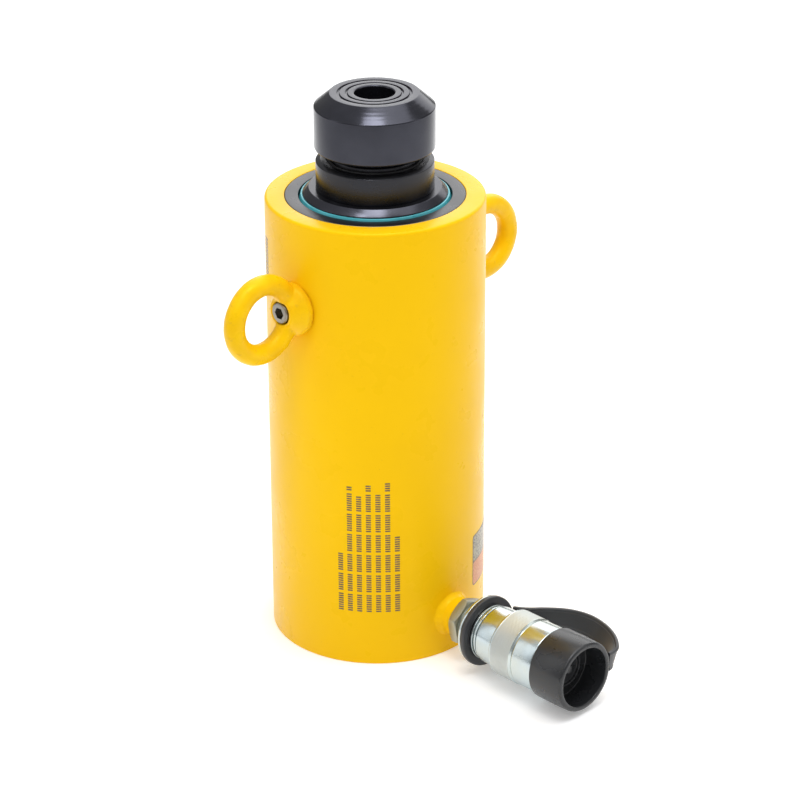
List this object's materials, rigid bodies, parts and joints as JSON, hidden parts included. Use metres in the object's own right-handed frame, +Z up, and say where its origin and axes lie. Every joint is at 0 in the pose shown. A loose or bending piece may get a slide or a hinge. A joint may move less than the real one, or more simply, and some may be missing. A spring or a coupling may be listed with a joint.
{
  "type": "telescopic hydraulic cylinder",
  "caption": "Telescopic hydraulic lifting cylinder with a stout round barrel, nested plungers under a tilt saddle, lifting eyes and a side coupler with a tethered dust cap.",
  "frame": {"origin": "centre of the barrel's base face, where the cylinder stands", "axes": "+Z up along the lifting axis, +X out along the coupler, lifting eyes at -Y and +Y"},
  "size_m": [0.2248, 0.2216, 0.3204],
  "materials": {
    "yellow_paint": "gloss enamel",
    "black_steel": "blackened, satin",
    "wiper_teal": "smooth polyurethane",
    "seal_rubber": "matt",
    "backup_ptfe": "matt",
    "guide_bronze": "bronze filled",
    "plain_steel": "turned",
    "bright_zinc": "bright zinc plate",
    "dull_zinc": "dull zinc plate",
    "black_plastic": "semi-gloss moulded"
  },
  "bodies": {
    "root": {"barrel": "yellow_paint", "port_boss": "yellow_paint", "gland_nut": "black_steel", "gland_wiper": "wiper_teal", "gland_rod_seal": "seal_rubber", "gland_backup_ring": "backup_ptfe", "gland_guide_ring": "guide_bronze", "gland_static_seal": "seal_rubber", "lifting_eye_left": "yellow_paint", "lifting_eye_right": "yellow_paint", "eye_studs": "plain_steel", "port_adapter": "dull_zinc", "coupler_body": "bright_zinc", "coupler_nose_seal": "seal_rubber", "valve_guide": "plain_steel", "valve_spring": "plain_steel", "collar_snap_ring": "plain_steel", "strap_ring": "black_plastic"},
    "stage_1": {"stage_1_sleeve": "black_steel", "stage_1_guide_ring": "guide_bronze", "inner_gland_nut": "black_steel", "inner_wiper": "seal_rubber", "inner_rod_seal": "seal_rubber", "inner_backup_ring": "backup_ptfe", "inner_gland_guide_ring": "guide_bronze", "inner_static_seal": "seal_rubber"},
    "stage_2": {"stage_2_plunger": "black_steel", "stage_2_guide_ring": "guide_bronze", "saddle_screw": "plain_steel"},
    "washer": {"saddle_washer": "plain_steel"},
    "saddle": {"saddle": "black_steel"},
    "collar": {"coupler_collar": "bright_zinc"},
    "valve": {"valve_poppet": "plain_steel", "poppet_seal": "seal_rubber"},
    "dust_cap": {"dust_cap": "black_plastic", "dust_cap_strap": "black_plastic"}
  },
  "joints": [
    {"name": "stage_1_lift", "type": "slide", "parent": "root", "child": "stage_1", "axis": [0, 0, 1], "range_m": [0, 0.135]},
    {"name": "stage_2_lift", "type": "slide", "parent": "stage_1", "child": "stage_2", "axis": [0, 0, 1], "range_m": [0, 0.135]},
    {"name": "saddle_spin", "type": "hinge", "parent": "stage_2", "child": "washer", "pos_m": [0, 0, 0.305], "axis": [0, 0, 1], "continuous": true},
    {"name": "saddle_tilt", "type": "hinge", "parent": "washer", "child": "saddle", "pos_m": [0, 0, 0.305], "axis": [1, 0, 0], "range_deg": [-5, 5]},
    {"name": "collar_spin", "type": "hinge", "parent": "root", "child": "collar", "pos_m": [0.12, 0, 0.0232], "axis": [1, 0, 0], "continuous": true},
    {"name": "valve_push", "type": "slide", "parent": "root", "child": "valve", "axis": [-1, 0, 0], "range_m": [0, 0.004], "stiffness_N_per_m": 2500, "springref_m": -0.004, "deforming": ["valve_spring"]},
    {"name": "cap_pull", "type": "slide", "parent": "root", "child": "dust_cap", "axis": [1, 0, 0], "range_m": [0, 0.028], "deforming": ["dust_cap_strap"]}
  ]
}
